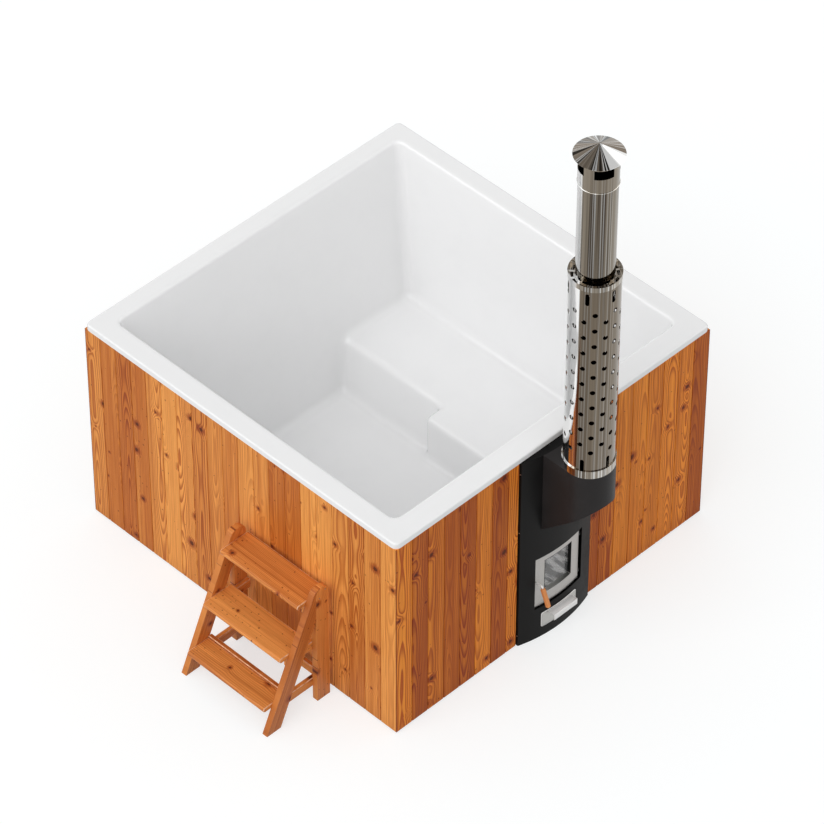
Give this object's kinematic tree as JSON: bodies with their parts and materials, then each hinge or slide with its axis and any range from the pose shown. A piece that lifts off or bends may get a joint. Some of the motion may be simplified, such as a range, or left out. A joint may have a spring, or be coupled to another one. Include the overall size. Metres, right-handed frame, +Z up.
{
  "type": "square hot tub",
  "caption": "Square wood-fired hot tub: boarded timber frame, one-piece white shell with a bench, stove behind a curved black panel, guarded flue with a cap, and free-standing steps.",
  "frame": {"origin": "on the floor under the middle of the square tub", "axes": "+Z up; the stove, its door and the flue face -Y; the steps stand on the -X side; +X is the side with the bench"},
  "size_m": [2.1838, 2.222, 2.694],
  "materials": {
    "shell_white": "smooth gloss gel coat",
    "board_larch": "oiled, satin",
    "steps_larch": "oiled, satin",
    "grip_wood": "turned, oiled",
    "frame_pine": "sawn",
    "flue_steel": "mirror-polished stainless steel",
    "panel_black": "matt black heat-proof paint",
    "door_steel": "brushed",
    "plain_steel": "satin",
    "pipe_grey": "smooth",
    "stove_iron": "dark, heat-stained steel",
    "grate_iron": "as cast",
    "valve_brass": "cast and turned",
    "lever_paint": "gloss",
    "door_glass": "clear heat-proof glass in front of a dark firebox",
    "gasket_rope": "woven glass rope"
  },
  "bodies": {
    "tub": {"shell": "shell_white", "cladding_left": "board_larch", "cladding_right": "board_larch", "cladding_back": "board_larch", "cladding_front_left": "board_larch", "cladding_front_right": "board_larch", "corner_posts": "frame_pine", "middle_posts": "frame_pine", "stove_posts": "frame_pine", "rails_left": "frame_pine", "rails_right": "frame_pine", "rails_back": "frame_pine", "rails_front": "frame_pine", "floor_bearers": "frame_pine", "seat_supports": "frame_pine", "drain_flange": "plain_steel", "drain_pipe": "pipe_grey", "drain_valve": "valve_brass", "water_jacket": "plain_steel", "firebox": "stove_iron", "fire_grate": "grate_iron", "stove_feet": "stove_iron", "stove_front": "panel_black", "smoke_duct": "stove_iron", "intake_fitting": "plain_steel", "return_fitting": "plain_steel", "hinge_brackets": "plain_steel", "latch_keeper": "plain_steel", "drawer_guides": "stove_iron", "front_panel": "panel_black", "panel_screws": "plain_steel", "flue_box": "panel_black", "flue_socket": "plain_steel", "flue_pipe": "flue_steel", "guard_base_ring": "flue_steel", "flue_guard": "flue_steel", "guard_top_ring": "flue_steel", "cap_collar": "flue_steel", "cap_cone": "flue_steel"},
    "stove_door": {"door_frame": "door_steel", "door_glass": "door_glass", "glass_retainer": "plain_steel", "door_gasket": "gasket_rope", "hinge_pins": "plain_steel"},
    "door_latch": {"latch_rod": "plain_steel", "latch_grip": "grip_wood"},
    "ash_drawer": {"ash_tray": "stove_iron", "drawer_front": "door_steel", "drawer_pull": "door_steel"},
    "drain_tap": {"drain_ball": "plain_steel", "drain_lever": "lever_paint"},
    "steps": {"step_stringers": "steps_larch", "step_legs": "steps_larch", "step_tread_top": "steps_larch", "step_tread_middle": "steps_larch", "step_tread_bottom": "steps_larch", "step_side_rails": "steps_larch", "step_cross_rails": "steps_larch", "step_screws": "plain_steel"}
  },
  "joints": [
    {"name": "door_hinge", "type": "hinge", "parent": "tub", "child": "stove_door", "pos_m": [0.13, -0.9179, 0.32], "axis": [0, 0, 1], "range_deg": [0, 95]},
    {"name": "latch_turn", "type": "hinge", "parent": "stove_door", "child": "door_latch", "pos_m": [-0.122, -0.91, 0.326], "axis": [0, 1, 0], "range_deg": [0, 90]},
    {"name": "drawer_slide", "type": "slide", "parent": "tub", "child": "ash_drawer", "axis": [0, -1, 0], "range_m": [0, 0.26]},
    {"name": "drain_turn", "type": "hinge", "parent": "tub", "child": "drain_tap", "pos_m": [-0.405, 0.952, 0.048], "axis": [0, 0, 1], "range_deg": [0, 90]},
    {"name": "steps_slide", "type": "slide", "parent": "tub", "child": "steps", "axis": [-1, 0, 0], "range_m": [0, 0.6]}
  ]
}
